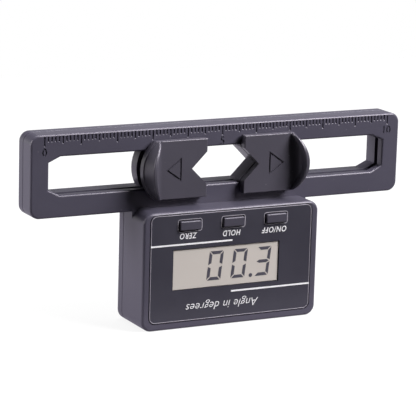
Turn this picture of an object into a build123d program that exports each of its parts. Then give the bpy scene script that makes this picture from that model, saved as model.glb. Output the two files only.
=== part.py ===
from build123d import *
import os

# Digital pitch gauge. Millimetres, +Z up, +Y towards the back, X along the slotted bar.
# The origin is the middle of the footprint, on the surface that the display housing stands on.

# Slotted bar
bar_length = 107.5
bar_height = 21.5
bar_depth = 8.1
bar_corner = 2.6
bar_edge = 0.55
bar_face = 2.2
slot_end = 5.0
slot_height = 10.0
slot_bevel_along = 3.2
slot_bevel_up = 1.45
slot_edge = 0.5

# Display housing, which hangs under the bar and stands out in front of it
housing_width = 51.0
housing_drop = 30.4
housing_lap = 0.75
housing_lead = 7.15
housing_corner = 2.8
housing_edge = 0.7
housing_face = 1.7
wall = 1.6
cover_depth = 3.0
cover_floor = 2.0
cover_edge = 0.55
seam_groove = 0.18

# Rim round the slot on the back cover, and the groove left for the sliders
rim_wall = 1.4
groove_width = 1.6

# Printed face plate, display and buttons
face_width = 46.8
face_height = 28.3
face_corner = 1.6
face_thickness = 0.5
face_bevel = 0.2
face_top_margin = 0.75
face_gap = 0.3
window_width = 31.0
window_height = 10.9
window_left = 6.45
window_top = 9.2
window_relief = 0.3
glass_inset = 0.9
glass_border_x = 2.1
glass_border_z = 1.9
glass_thickness = 1.8
glass_gap = 0.15
connector_width = 1.4
connector_side = 1.0
button_pitch = 12.55
button_middle = 0.2
button_width = 6.1
button_height = 2.4
button_corner = 0.4
button_round = 0.3
button_gap = 0.2
button_frame = 0.3
button_proud = 0.7
button_drop = 2.95
button_flange = 0.6
button_lip = 0.65
button_stem = 1.0
button_travel = 0.3
button_play = 0.1

# Circuit board and what it carries
board_width = 40.4
board_height = 24.4
board_thickness = 1.2
board_inset = 5.0
board_bottom = 4.2
switch_width = 4.4
switch_depth = 1.1
switch_height = 3.2
plunger_radius = 0.7
plunger_height = 0.5
plunger_gap = 0.1
controller_size = 8.0
controller_height = 1.3
controller_x = -11.5
sensor_size = 4.2
sensor_height = 1.1
sensor_x = 12.0
chip_z = 21.0
pillar_radius = 1.6
pillar_low = (16.0, 6.0)
pillar_high = (6.3, 26.4)

# Coin cell, its tray, contacts and sliding door
cell_radius = 10.0
cell_thickness = 3.2
cell_button = 8.8
cell_step = 0.8
cell_round = 0.5
cell_z = 13.0
cell_gap = 0.3
tray_wall = 0.9
tray_floor = 0.8
contact_thickness = 0.3
contact_width = 6.0
contact_leg = 1.2
door_width = 24.0
door_height = 24.4
door_thickness = 1.45
door_tongue = 0.65
door_tongue_depth = 0.8
door_gap = 0.12
grip_count = 4
grip_pitch = 1.6
grip_groove = 0.8
grip_width = 12.0
grip_depth = 0.4
grip_drop = 9.3

# Jaws. Places along the bar are distances out from the bar's middle.
jaw_mouth = 5.4
vee_depth = 4.4
plate_height = 15.4
plate_front = 2.4
plate_play = 0.5
plate_edge = 0.25
arc_radius = 10.0
arc_centre = 13.7
lip_height = 4.3
lip_half_width = 7.65
crest_radius = 12.1
crest_centre = 9.5
crest_lean = 0.7
crest_outer_round = 0.35
crest_inner_round = 0.25
lip_root = 0.8
scoop_radius = 3.24
scoop_start = 18.4
arrow_base = 13.0
arrow_tip = 16.9
arrow_half = 2.75
arrow_line = 0.4
arrow_depth = 0.35
neck_gap = 0.15
neck_end = 20.4
tail_inset = 2.1
tail_end = 5.3
tail_trim = 0.15
flange_play = 0.15
flange_height = 14.6
flange_end = 21.4
relief_depth = 0.5
relief_width = 0.4
stop_gap = 0.05
stop_height = 1.3
lug_width = 1.3
lug_height = 1.4
lug_root = 0.4

# Return springs
spring_radius = 1.0
spring_wire = 0.25
spring_coils = 9
spring_post_width = 2.4
spring_gap = 0.12

# Screws
screw_radius = 0.8
screw_length = 5.3
screw_head_radius = 1.6
screw_head_height = 1.1
head_round = 0.3
small_screw_radius = 0.75
small_head_radius = 1.35
small_head_height = 0.9
jaw_screw_places = (13.0, 17.6)
thread_gap = 0.05
hole_gap = 0.15
boss_radius = 2.0
boss_root = 0.8
bar_boss_inset = 3.75
bar_boss_drop = 3.4
plate_skin = 0.7

# Places that follow from the sizes
slot_length = bar_length - 2 * slot_end
bar_boss_x = bar_length / 2 - bar_boss_inset
bar_boss_rise = bar_height / 2 - bar_boss_drop
housing_depth = bar_depth + housing_lead
housing_top = housing_drop + housing_lap
front = (button_proud - housing_depth) / 2
back = front + housing_depth
bar_front = back - bar_depth
bar_middle = housing_drop + bar_height / 2
seam = back - cover_depth
floor_inside = back - cover_floor
groove_front = bar_front + bar_face
groove_back = groove_front + groove_width
face_middle = housing_top - face_top_margin - face_height / 2
window_x = -face_width / 2 + window_left + window_width / 2
window_z = face_middle + face_height / 2 - window_top - window_height / 2
button_z = face_middle + face_height / 2 - button_drop
housing_face_inside = front + housing_face
glass_front = front + glass_inset
glass_back = glass_front + glass_thickness
glass_width = window_width + 2 * glass_border_x
glass_height = window_height + 2 * glass_border_z
board_front = front + board_inset
board_back = board_front + board_thickness
plunger_front = board_front - switch_depth - plunger_height
door_inside = back - door_thickness
cell_back = door_inside - cell_gap
cell_front = cell_back - cell_thickness
tray_inside = cell_front - contact_thickness
tray_front = tray_inside - tray_floor
tray_radius = cell_radius + cell_gap
plate_back = bar_front - plate_play
plate_face = bar_front - plate_front
vee_tip = jaw_mouth + vee_depth
spring_z = bar_middle + (slot_height / 2 + rim_wall + bar_height / 2 - wall) / 2
spring_y = groove_back + spring_gap + spring_radius
housing_boss_x = housing_width / 2 - 2 * wall
housing_boss_low = 2 * wall
housing_boss_high = housing_top - 2 * wall
shell_screw_places = [(side * housing_boss_x, z) for side in (-1, 1)
                      for z in (housing_boss_low, housing_boss_high)]
shell_screw_places += [(side * bar_boss_x, bar_middle + rise) for side in (-1, 1)
                       for rise in (-bar_boss_rise, bar_boss_rise)]
pillar_places = [(side * x, z) for side in (-1, 1) for x, z in (pillar_low, pillar_high)]
beyond = 5.0


def block(x_one, x_two, y_one, y_two, z_one, z_two):
    """A plain block between two corners."""
    middle = Pos((x_one + x_two) / 2, (y_one + y_two) / 2, (z_one + z_two) / 2)
    return middle * Box(abs(x_two - x_one), abs(y_two - y_one), abs(z_two - z_one))


def slab(outline, y_front, y_back):
    """An outline drawn in the front view, made solid between two depths."""
    return extrude(Plane.XZ.offset(-y_back) * outline, amount=y_back - y_front)


def rod(x, z, radius, y_front, y_back):
    """A round bar that runs front to back."""
    return slab(Pos(x, z) * Circle(radius), y_front, y_back)


def rounded(x, z, width, height, radius):
    """A rectangle with round corners in the front view."""
    return Pos(x, z) * RectangleRounded(width, height, radius)


def slot_outline(grow=0.0):
    """The slot's long outline with bevelled ends, grown outwards on every side."""
    end, top = slot_length / 2 + grow, slot_height / 2 + grow
    quarter = [(end, top - slot_bevel_up), (end - slot_bevel_along, top)]
    right = [(x, -z) for x, z in reversed(quarter)] + quarter
    left = [(-x, -z) for x, z in right]
    return Pos(0, bar_middle) * Polygon(*right, *left, align=None)


def bar_outline(inset=0.0):
    return rounded(0, bar_middle, bar_length - 2 * inset, bar_height - 2 * inset, bar_corner - inset)


def housing_outline(inset=0.0):
    radius = housing_corner - inset
    return rounded(0, housing_top / 2, housing_width - 2 * inset, housing_top - 2 * inset, radius)


def front_edges(solid):
    return solid.edges().group_by(Axis.Y)[0]


def back_edges(solid):
    return solid.edges().group_by(Axis.Y)[-1]


def side_edges(solid):
    """The upright edges at the back of a block."""
    return back_edges(solid).filter_by(Axis.Z)


def housing_neck(y_front, y_back):
    """The housing's upper part, square in the corners where it runs up into the bar."""
    return block(-housing_width / 2, housing_width / 2, y_front, y_back,
                 housing_top / 2, housing_drop + wall / 2)


def in_the_slot(edge):
    """True for an edge on the slot's outline."""
    middle = edge.center()
    reach = slot_edge / 2
    return abs(middle.X) < slot_length / 2 + reach and abs(middle.Z - bar_middle) < slot_height / 2 + reach


def screw_sockets(y_front, y_back, radius):
    return [rod(x, z, radius, y_front, y_back) for x, z in shell_screw_places]


def make_front_shell():
    """The front half of the bar and the body of the display housing, moulded as one."""
    bar = slab(bar_outline(), bar_front, seam)
    bar = fillet(front_edges(bar), bar_edge)
    bar = chamfer(back_edges(bar), seam_groove)
    bar -= slab(slot_outline(), bar_front - beyond, seam + beyond)
    bar = fillet(front_edges(bar).filter_by(in_the_slot), slot_edge)
    body = slab(housing_outline(), front, seam)
    body = fillet(front_edges(body), housing_edge)
    body = chamfer(back_edges(body), seam_groove)
    neck = housing_neck(bar_front, seam)
    shell = bar + body + chamfer(side_edges(neck), seam_groove)
    shell -= slab(bar_outline(wall), groove_front, seam + beyond)
    shell -= slab(housing_outline(wall), housing_face_inside, seam + beyond)
    in_bar = slab(bar_outline(boss_root), bar_front, seam)
    in_body = slab(housing_outline(boss_root), front, seam)
    shell += [rod(x, z, boss_radius, groove_front - boss_root, seam) & in_bar
              for x, z in shell_screw_places if z > housing_top]
    shell += [rod(x, z, boss_radius, housing_face_inside - boss_root, seam) & in_body
              for x, z in shell_screw_places if z < housing_top]
    shell += [rod(x, z, pillar_radius, housing_face_inside - boss_root, board_front)
              for x, z in pillar_places]
    shell += make_stops()
    reach = floor_inside + cover_floor - screw_head_height - screw_length - thread_gap
    shell -= screw_sockets(reach, seam + beyond, screw_radius + thread_gap)
    shell -= [rod(x, z, small_screw_radius + thread_gap, housing_face_inside, board_front + beyond)
              for x, z in pillar_places]
    return shell - make_display_cuts()


def make_stops():
    """Ribs in the bar that the sliders close against, and the post for the springs."""
    low = flange_height / 2 - stop_height
    top = bar_middle + bar_height / 2 - wall
    ribs = [block(-jaw_mouth + stop_gap, jaw_mouth - stop_gap, groove_front - boss_root, groove_back,
                  bar_middle + side * low, bar_middle + side * flange_height / 2) for side in (-1, 1)]
    half = spring_post_width / 2
    root = block(-half, half, groove_front - boss_root, groove_back,
                 bar_middle + low, top + boss_root)
    post = block(-half, half, groove_front, spring_y + spring_radius / 2,
                 bar_middle + slot_height / 2 + rim_wall + hole_gap, top - hole_gap)
    return ribs + [root, post]


def window_block(width, height, y_front, y_back):
    """A block round the middle of the window."""
    return block(window_x - width / 2, window_x + width / 2, y_front, y_back,
                 window_z - height / 2, window_z + height / 2)


def make_display_cuts():
    """The pocket for the face plate, the window, the pocket for the glass and the button holes."""
    pocket = slab(rounded(0, face_middle, face_width + 2 * face_gap, face_height + 2 * face_gap,
                          face_corner + face_gap), front - beyond, front + face_thickness)
    window = window_block(window_width + 2 * window_relief, window_height + 2 * window_relief,
                          front - beyond, glass_front + beyond)
    glass = window_block(glass_width + 2 * glass_gap, glass_height + 2 * glass_gap,
                         glass_front, glass_back + glass_gap)
    holes = [slab(rounded(button_x(step), button_z, button_width + 2 * button_gap,
                          button_height + 2 * button_gap, button_corner + button_gap),
                  front - beyond, housing_face_inside + face_gap) for step in (-1, 0, 1)]
    return [pocket, window, glass] + holes


def make_face_plate():
    """The printed plate, with its window and three button openings."""
    outline = rounded(0, face_middle, face_width, face_height, face_corner)
    plate = slab(outline, front, front + face_thickness)
    plate = chamfer(front_edges(plate), face_bevel)
    plate -= window_block(window_width, window_height, front - beyond, glass_front)
    for step in (-1, 0, 1):
        plate -= slab(rounded(button_x(step), button_z, button_width + 2 * button_frame,
                              button_height + 2 * button_frame, button_corner + button_frame),
                      front - beyond, glass_front)
    return plate


def make_button(step):
    """A key cap with its frame behind the wall and its stem."""
    x = button_x(step)
    flange_front = housing_face_inside + button_play
    flange_back = flange_front + button_flange
    cap = slab(rounded(x, button_z, button_width, button_height, button_corner),
               front - button_proud, flange_back)
    cap = fillet(front_edges(cap), button_round)
    flange = slab(rounded(x, button_z, button_width + 2 * button_lip, button_height + 2 * button_lip,
                          button_corner), flange_front, flange_back)
    stem = rod(x, button_z, button_stem, flange_back, plunger_front - plunger_gap - button_travel)
    return cap + flange + stem


def make_switch(step):
    """A tact switch on the board behind a key."""
    x = button_x(step)
    body = block(x - switch_width / 2, x + switch_width / 2, board_front - switch_depth, board_front,
                 button_z - switch_height / 2, button_z + switch_height / 2)
    return body + rod(x, button_z, plunger_radius, plunger_front, board_front - switch_depth)


def make_glass():
    return window_block(glass_width, glass_height, glass_front, glass_back)


def make_connector():
    """The rubber strip that joins the display's glass to the board."""
    half = glass_width / 2 - connector_side
    top = window_z + glass_height / 2 - (glass_border_z - connector_width) / 2
    return block(window_x - half, window_x + half, glass_back, board_front, top - connector_width, top)


def make_board():
    board = block(-board_width / 2, board_width / 2, board_front, board_back,
                  board_bottom, board_bottom + board_height)
    return board - [rod(x, z, small_screw_radius + hole_gap, board_front - beyond, board_back + beyond)
                    for x, z in pillar_places]


def make_chip(x, size, height):
    return block(x - size / 2, x + size / 2, board_back, board_back + height,
                 chip_z - size / 2, chip_z + size / 2)


def button_x(step):
    """The middle of a key, which is the first, second or third for a step of -1, 0 or 1."""
    return button_middle + step * button_pitch


def make_screw(x, z, head_back, head_radius, head_height, radius, length):
    """A screw that enters from the back, its head towards +Y."""
    head = rod(x, z, head_radius, head_back - head_height, head_back)
    head = fillet(back_edges(head), head_round)
    return head + rod(x, z, radius, head_back - head_height - length, head_back - head_height)


def make_back_shell():
    """The back half of the bar and of the housing, with the slot's rim and the cell's tray."""
    cover = slab(bar_outline(), seam, back)
    cover = fillet(back_edges(cover), cover_edge)
    cover = chamfer(front_edges(cover), seam_groove)
    lower = slab(housing_outline(), seam, back)
    lower = fillet(back_edges(lower), cover_edge)
    lower = chamfer(front_edges(lower), seam_groove)
    cover = cover + lower + make_cover_neck()
    cover -= slab(bar_outline(wall), seam - beyond, floor_inside)
    cover -= slab(housing_outline(wall), seam - beyond, floor_inside)
    cover += slab(slot_outline(rim_wall), groove_back, back - cover_floor / 2)
    cover += rod(0, cell_z, tray_radius + tray_wall, tray_front, back - cover_floor / 2)
    cover += [rod(x, z, boss_radius, seam, back - cover_floor / 2) & make_cover_limits()
              for x, z in shell_screw_places]
    cover -= slab(slot_outline(), front, back + beyond)
    cover -= rod(0, cell_z, tray_radius, tray_inside, back + beyond)
    cover -= make_door_cut()
    cover -= make_contact_cuts()
    cover -= screw_sockets(seam - beyond, back + beyond, screw_radius + hole_gap)
    return cover - screw_sockets(back - screw_head_height, back + beyond, screw_head_radius + hole_gap)


def make_cover_neck():
    """The cover's upper part, with its back corners rounded like the rest."""
    neck = housing_neck(seam, back)
    neck = fillet(side_edges(neck), cover_edge)
    return chamfer(front_edges(neck).filter_by(Axis.Z), seam_groove)


def make_cover_limits():
    return slab(bar_outline(wall / 2), front, back) + slab(housing_outline(wall / 2), front, back)


def make_door_cut():
    """The recess that the door slides in, open at the bottom, with a groove on each side."""
    top = door_height + door_gap
    half = door_width / 2 + door_gap
    mouth = block(-half, half, door_inside - door_gap, back + beyond, -beyond, top)
    reach = half + door_tongue
    grooves = block(-reach, reach, door_inside - door_gap, door_inside + door_tongue_depth + door_gap,
                    -beyond, top)
    return mouth + grooves


def make_door():
    """The cell's cover, with a tongue along each side and grooves for the thumb."""
    door = block(-door_width / 2, door_width / 2, door_inside, back, 0, door_height)
    half = door_width / 2 + door_tongue
    door += block(-half, half, door_inside, door_inside + door_tongue_depth, 0, door_height)
    for index in range(grip_count):
        z = door_height - grip_drop + index * grip_pitch
        door -= block(-grip_width / 2, grip_width / 2, back - grip_depth, back + beyond,
                      z, z + grip_groove)
    return door


def make_cell():
    """A coin cell, its can towards the door and its button towards the front."""
    can = rod(0, cell_z, cell_radius, cell_front + cell_step, cell_back)
    can = fillet(back_edges(can), cell_round)
    return can + rod(0, cell_z, cell_button, cell_front, cell_front + cell_step)


def make_contact_cuts():
    """Openings in the tray for the two contacts."""
    top = cell_z + cell_radius
    half = contact_width / 2 + hole_gap
    side = block(-half, half, tray_front - beyond, cell_back,
                 top, top + cell_gap + contact_thickness + hole_gap)
    half = contact_leg / 2 + hole_gap
    leg = block(-half, half, tray_front - beyond, tray_inside + beyond,
                cell_z - contact_thickness / 2 - hole_gap, cell_z + contact_thickness / 2 + hole_gap)
    return [side, leg]


def make_negative_contact():
    """A flat plate under the cell, with a leg through the tray to the board."""
    plate = rod(0, cell_z, cell_radius / 2, tray_inside, cell_front)
    leg = block(-contact_leg / 2, contact_leg / 2, board_back, cell_front,
                cell_z - contact_thickness / 2, cell_z + contact_thickness / 2)
    return plate + leg


def make_positive_contact():
    """A blade beside the cell's can, with a leg to the board."""
    low = cell_z + cell_radius + cell_gap
    blade = block(-contact_width / 2, contact_width / 2, tray_front, cell_back - cell_gap,
                  low, low + contact_thickness)
    leg = block(-contact_leg / 2, contact_leg / 2, board_back, cell_front, low, low + contact_thickness)
    return blade + leg


def vee(side, tip):
    """The notch that holds an edge: a right angle with its tip this far from the bar's middle."""
    reach = tip + beyond
    points = [(side * tip, 0), (-side * beyond, reach), (-side * beyond, -reach)]
    return Pos(0, bar_middle) * make_face(Polyline(*points, close=True))


def arc_end(side, radius):
    """The jaw's round outer end."""
    return Pos(side * arc_centre, bar_middle) * Circle(radius)


def strip(side, near, far, height):
    """A straight band along the bar, from one distance out to another."""
    return Pos(side * (near + far) / 2, bar_middle) * Rectangle(far - near, height)


def jaw_outline(side, height, radius):
    """A band with a round outer end, without its notch."""
    return strip(side, jaw_mouth, arc_centre, height) + (
        arc_end(side, radius) & strip(side, arc_centre, arc_centre + 2 * radius, height))


def make_arrow(side, grow):
    """A plain triangle that points outwards, grown evenly on its three sides."""
    slope = (arrow_tip - arrow_base) / arrow_half
    reach = grow * (1 + slope ** 2) ** 0.5
    base, tip = arrow_base - grow, arrow_tip + reach
    half = (tip - base) / slope
    points = [(side * tip, 0), (side * base, half), (side * base, -half)]
    return Pos(0, bar_middle) * make_face(Polyline(*points, close=True))


def crest_edges(lip):
    """The two long curved edges along the lip's crest."""
    top = lip.faces().sort_by(Axis.Y)[0]
    return top.edges().filter_by(lambda edge: edge.length > lip_half_width)


def make_thumb_lip(side):
    """The raised lip: highest in the middle of the round end, and hollowed along its inner side."""
    crest = Pos(side * crest_centre, bar_middle) * Circle(crest_radius)
    end = arc_end(side, arc_radius) & strip(side, scoop_start, arc_centre + arc_radius, 2 * lip_half_width)
    swell = extrude(Plane.YZ * Pos(plate_face, bar_middle) * Ellipse(lip_height, lip_half_width),
                    amount=side * (arc_centre + arc_radius))
    swell += block(0, side * (arc_centre + arc_radius), plate_face, plate_face + lip_root,
                   bar_middle - lip_half_width, bar_middle + lip_half_width)
    foot_radius = arc_radius - plate_edge
    leaning = Pos(side * arc_centre, plate_face + (lip_root - lip_height) / 2, bar_middle) * Rot(
        90, 0, 0) * Cone(foot_radius + crest_lean * lip_root / lip_height, foot_radius - crest_lean,
                         lip_height + lip_root)
    lip = slab(end - crest, plate_face - lip_height, plate_face + lip_root) & swell & leaning
    for radius, place in ((crest_inner_round, 0), (crest_outer_round, -1)):
        edge = crest_edges(lip).sort_by(lambda curve: side * curve.center().X)[place]
        lip = fillet(edge, radius)
    heel = slab(end & crest, plate_face - scoop_radius, plate_face + lip_root) & leaning
    heel -= Pos(side * scoop_start, plate_face - scoop_radius, bar_middle) * Cylinder(
        scoop_radius, 3 * arc_radius)
    return lip + heel


def make_jaw_plate(side):
    """The jaw's front: a notched plate with a raised, scooped lip for the thumb."""
    plate = slab(jaw_outline(side, plate_height, arc_radius), plate_face, plate_back)
    plate = fillet(front_edges(plate), plate_edge)
    plate += make_thumb_lip(side)
    plate -= slab(vee(side, vee_tip), front - beyond, back)
    ring = make_arrow(side, arrow_line / 2) - make_arrow(side, -arrow_line / 2)
    plate -= slab(ring, plate_face - beyond, plate_face + arrow_depth)
    radius = small_screw_radius + thread_gap
    return plate - [rod(side * u, bar_middle, radius, plate_face + plate_skin, back)
                    for u in jaw_screw_places]


def make_slider(side):
    """The jaw's inner part: a neck in the slot, a flange in the groove and a tail behind."""
    height = slot_height - 2 * neck_gap
    tail_front = bar_front + tail_inset
    tail_back = bar_front + tail_end
    slider = slab(strip(side, jaw_mouth, neck_end, height), plate_back, tail_front)
    slider += slab(jaw_outline(side, height, arc_radius - tail_trim), tail_front, tail_back)
    slider += slab(strip(side, jaw_mouth, flange_end, flange_height),
                   groove_front + flange_play, groove_back - flange_play)
    slider -= slab(vee(side, vee_tip), front - beyond, back)
    relief_tip = vee_tip + relief_width * 2 ** 0.5
    slider -= slab(vee(side, relief_tip), plate_back - beyond, plate_back + relief_depth)
    near, far = side * (flange_end - lug_width), side * flange_end
    slider += block(near, far, groove_front + flange_play, groove_back - flange_play,
                    bar_middle + slot_height / 2, spring_z + lug_height / 2)
    slider += block(near, far, groove_back - flange_play - lug_root, spring_y + spring_radius,
                    spring_z - lug_height / 2, spring_z + lug_height / 2)
    for u in jaw_screw_places:
        slider -= rod(side * u, bar_middle, small_screw_radius + hole_gap, front, back)
        slider -= rod(side * u, bar_middle, small_head_radius + hole_gap,
                      tail_back - small_head_height, back)
    return slider


def make_spring(side):
    """A return spring between the post and the slider's lug, drawn as a row of turns."""
    start = spring_post_width / 2
    end = flange_end - lug_width
    turn = (end - start) / spring_coils
    tube = Pos(side * (start + end) / 2, spring_y, spring_z) * Rot(0, 90, 0) * Cylinder(
        spring_radius - spring_wire, end - start)
    for index in range(spring_coils):
        x = side * (start + (index + 0.5) * turn)
        tube += Pos(x, spring_y, spring_z) * Rot(0, 90, 0) * Cylinder(spring_radius, turn / 2)
    return tube


def make_jaw_screws(side):
    """Two small screws that hold the plate to the slider."""
    head_back = bar_front + tail_end
    length = head_back - small_head_height - plate_face - plate_skin - thread_gap
    return [make_screw(side * u, bar_middle, head_back, small_head_radius, small_head_height,
                       small_screw_radius, length) for u in jaw_screw_places]


def make_shell_screws():
    return [make_screw(x, z, back, screw_head_radius, screw_head_height, screw_radius, screw_length)
            for x, z in shell_screw_places]


def make_board_screws():
    length = board_back - housing_face_inside - thread_gap
    return [make_screw(x, z, board_back + small_head_height, small_head_radius, small_head_height,
                       small_screw_radius, length) for x, z in pillar_places]


parts = {
    "front_shell": make_front_shell(),
    "back_shell": make_back_shell(),
    "face_plate": make_face_plate(),
    "display_glass": make_glass(),
    "display_connector": make_connector(),
    "circuit_board": make_board(),
    "controller_chip": make_chip(controller_x, controller_size, controller_height),
    "tilt_sensor": make_chip(sensor_x, sensor_size, sensor_height),
    "coin_cell": make_cell(),
    "negative_contact": make_negative_contact(),
    "positive_contact": make_positive_contact(),
    "battery_door": make_door(),
    "shell_screws": make_shell_screws(),
    "board_screws": make_board_screws(),
}
for name, step in (("zero", -1), ("hold", 0), ("on_off", 1)):
    parts[name + "_button"] = make_button(step)
    parts[name + "_switch"] = make_switch(step)
for name, side in (("left", -1), ("right", 1)):
    parts[name + "_jaw_plate"] = make_jaw_plate(side)
    parts[name + "_jaw_slider"] = make_slider(side)
    parts[name + "_jaw_spring"] = make_spring(side)
    parts[name + "_jaw_screws"] = make_jaw_screws(side)

os.makedirs("parts", exist_ok=True)
for name, shape in parts.items():
    solids = shape if isinstance(shape, list) else [shape]
    export_step(Compound(children=[s for piece in solids for s in piece.solids()]), f"parts/{name}.step")
    print(name, len([s for piece in solids for s in piece.solids()]))
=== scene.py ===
# %% [markdown]
# # Dressing a small digital gauge
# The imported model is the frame: every solid already sits at its real size. This lesson gives each solid the
# finish that its real material has, and adds the fine things that a solid leaves out: the ruler that is moulded
# into the bar, the segments of the display, the white print, the thin borders, and the screws' threads and cross
# recesses. All sizes below are millimetres, and `mm` turns them into Blender's metres.

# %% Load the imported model
import math

import bmesh
import bpy
from mathutils import Matrix, Vector


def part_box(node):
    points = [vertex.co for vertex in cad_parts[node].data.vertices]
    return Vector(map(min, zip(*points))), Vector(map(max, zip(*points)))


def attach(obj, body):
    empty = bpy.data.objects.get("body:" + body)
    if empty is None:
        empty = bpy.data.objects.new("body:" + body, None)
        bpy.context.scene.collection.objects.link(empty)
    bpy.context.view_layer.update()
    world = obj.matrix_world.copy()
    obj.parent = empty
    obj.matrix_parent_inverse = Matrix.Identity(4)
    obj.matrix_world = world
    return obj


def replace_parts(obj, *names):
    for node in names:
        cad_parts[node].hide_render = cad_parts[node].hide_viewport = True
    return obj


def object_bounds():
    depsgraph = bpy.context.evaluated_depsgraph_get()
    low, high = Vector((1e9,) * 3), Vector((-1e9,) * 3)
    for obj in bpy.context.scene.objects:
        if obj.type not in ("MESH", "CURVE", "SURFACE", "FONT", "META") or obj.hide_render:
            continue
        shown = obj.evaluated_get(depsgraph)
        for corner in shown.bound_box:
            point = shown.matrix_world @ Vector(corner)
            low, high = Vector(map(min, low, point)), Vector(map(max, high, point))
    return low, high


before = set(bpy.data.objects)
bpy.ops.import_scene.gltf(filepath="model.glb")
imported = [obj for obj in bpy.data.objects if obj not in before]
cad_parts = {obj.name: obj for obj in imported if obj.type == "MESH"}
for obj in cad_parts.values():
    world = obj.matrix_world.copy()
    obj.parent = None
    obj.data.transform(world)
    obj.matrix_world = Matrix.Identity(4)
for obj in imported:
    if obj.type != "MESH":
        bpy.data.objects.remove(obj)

mm = 0.001
cad_low, cad_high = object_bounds()
print("the solids measure, in mm:", [round(size / mm, 2) for size in cad_high - cad_low])

# %% [markdown]
# ## Places that come from the frame
# The fine pieces sit on faces that the solids already have, so their depths are read from the solids' boxes:
# the front of the printed plate, the front of the display and the front of the bar behind the jaws.

# %% Read the depths
plate_low, plate_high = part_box("face_plate")
glass_low, glass_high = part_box("display_glass")
plate_front = plate_low.y / mm
glass_front = glass_low.y / mm
bar_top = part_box("front_shell")[1].z / mm
bar_depth = 8.1
bar_front = cad_high.y / mm - bar_depth
print("plate, glass and bar fronts at y =", round(plate_front, 3), round(glass_front, 3), round(bar_front, 3))

# %% [markdown]
# ## Helpers for colour and nodes
# Colours are written as the eye knows them, in sRGB hex, and one function turns them into the linear values
# that a shader adds and multiplies. One more function adds a node, sets it and links its inputs, so each
# material below reads from top to bottom like a recipe. The recipe ends by connecting its last nodes to the
# shader.


# %% Colour and node helpers
def linear(hex_colour):
    """An sRGB hex colour as the linear RGBA that shaders use."""
    channels = [int(hex_colour[place:place + 2], 16) / 255 for place in (1, 3, 5)]
    values = [c / 12.92 if c <= 0.04045 else ((c + 0.055) / 1.055) ** 2.4 for c in channels]
    return (*values, 1.0)


def add(tree, kind, inputs=None, **settings):
    """Adds a node, sets its properties, and gives each named input a value or a link."""
    node = tree.nodes.new(kind)
    for name, value in settings.items():
        setattr(node, name, value)
    for name, value in (inputs or {}).items():
        if isinstance(value, bpy.types.NodeSocket):
            tree.links.new(value, node.inputs[name])
        else:
            node.inputs[name].default_value = value
    return node


def start_material(name, **shader_values):
    """A material with one Principled shader, its plain values set on the shader's own sockets."""
    material = bpy.data.materials.new(name)
    material.use_nodes = True
    tree = material.node_tree
    tree.nodes.clear()
    shader = add(tree, "ShaderNodeBsdfPrincipled", {key.replace("_", " "): v for key, v in shader_values.items()})
    add(tree, "ShaderNodeOutputMaterial", {"Surface": shader.outputs["BSDF"]})
    place = add(tree, "ShaderNodeTexCoord").outputs["Object"]
    return material, tree, shader, place


def connect(tree, shader, outputs):
    """Links the last nodes of a recipe to the shader's sockets."""
    for socket, output in outputs.items():
        tree.links.new(output, shader.inputs[socket])


print("one grey written as #808080 is", round(linear("#808080")[0], 3), "in linear light")

# %% [markdown]
# ## Moulded ABS
# The bar, the housing and the jaws are black acrylonitrile butadiene styrene, injected into a spark-eroded
# steel mould. The erosion leaves a fine matt grain that the plastic copies, and handling leaves a slow change
# of gloss and a few pale specks of dust. The grain goes into the bump, the handling into the roughness, and the
# specks into the colour. The real grain is too fine to show, so it is drawn about a quarter of a millimetre
# across.


# %% Black ABS
handled_patch, dust_spacing = 14, 1.1
grain_size, grain_depth = 0.28, 0.018
dusty_share, dust_strength = 0.07, 0.35


def moulded_abs(name, dark, light, roughness, speck_radius=0.12):
    """Spark-eroded black ABS: grain as bump, slow gloss changes and sparse dust."""
    material, tree, shader, place = start_material(name, IOR=1.53, Specular_Tint=linear("#f8f0fa"))
    slow = add(tree, "ShaderNodeTexNoise", {"Vector": place, "Scale": 1 / (handled_patch * mm), "Detail": 3.0})
    grain = add(tree, "ShaderNodeTexNoise", {"Vector": place, "Scale": 1 / (grain_size * mm), "Detail": 2.0})
    dust = add(tree, "ShaderNodeTexVoronoi", {"Vector": place, "Scale": 1 / (dust_spacing * mm)})
    shade = add(tree, "ShaderNodeMixRGB",
                {"Fac": slow.outputs["Fac"], "Color1": linear(dark), "Color2": linear(light)})
    speck = add(tree, "ShaderNodeMapRange",
                {"Value": dust.outputs["Distance"], "From Min": speck_radius, "From Max": 0.6 * speck_radius,
                 "To Min": 0.0, "To Max": dust_strength})
    rare = add(tree, "ShaderNodeSeparateColor", {"Color": dust.outputs["Color"]})
    chosen = add(tree, "ShaderNodeMath", {0: rare.outputs["Red"], 1: 1 - dusty_share}, operation="GREATER_THAN")
    amount = add(tree, "ShaderNodeMath", {0: speck.outputs["Result"], 1: chosen.outputs[0]}, operation="MULTIPLY")
    colour = add(tree, "ShaderNodeMixRGB",
                 {"Fac": amount.outputs[0], "Color1": shade.outputs["Color"], "Color2": linear("#a7a3ab")})
    gloss = add(tree, "ShaderNodeMapRange",
                {"Value": slow.outputs["Fac"], "To Min": roughness - 0.08, "To Max": roughness + 0.08})
    bump = add(tree, "ShaderNodeBump",
               {"Height": grain.outputs["Fac"], "Strength": 0.5, "Distance": grain_depth * mm})
    connect(tree, shader, {"Base Color": colour.outputs["Color"], "Roughness": gloss.outputs["Result"],
                           "Normal": bump.outputs["Normal"]})
    return material


housing_abs = moulded_abs("black_abs_housing", "#45424f", "#4e4b59", roughness=0.38)
jaw_abs = moulded_abs("black_abs_jaws", "#45424b", "#4f4c57", roughness=0.33)
key_abs = moulded_abs("black_abs_keys", "#403e49", "#494652", roughness=0.4, speck_radius=0.06)
print("ABS finishes:", housing_abs.name, jaw_abs.name, key_abs.name)

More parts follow.
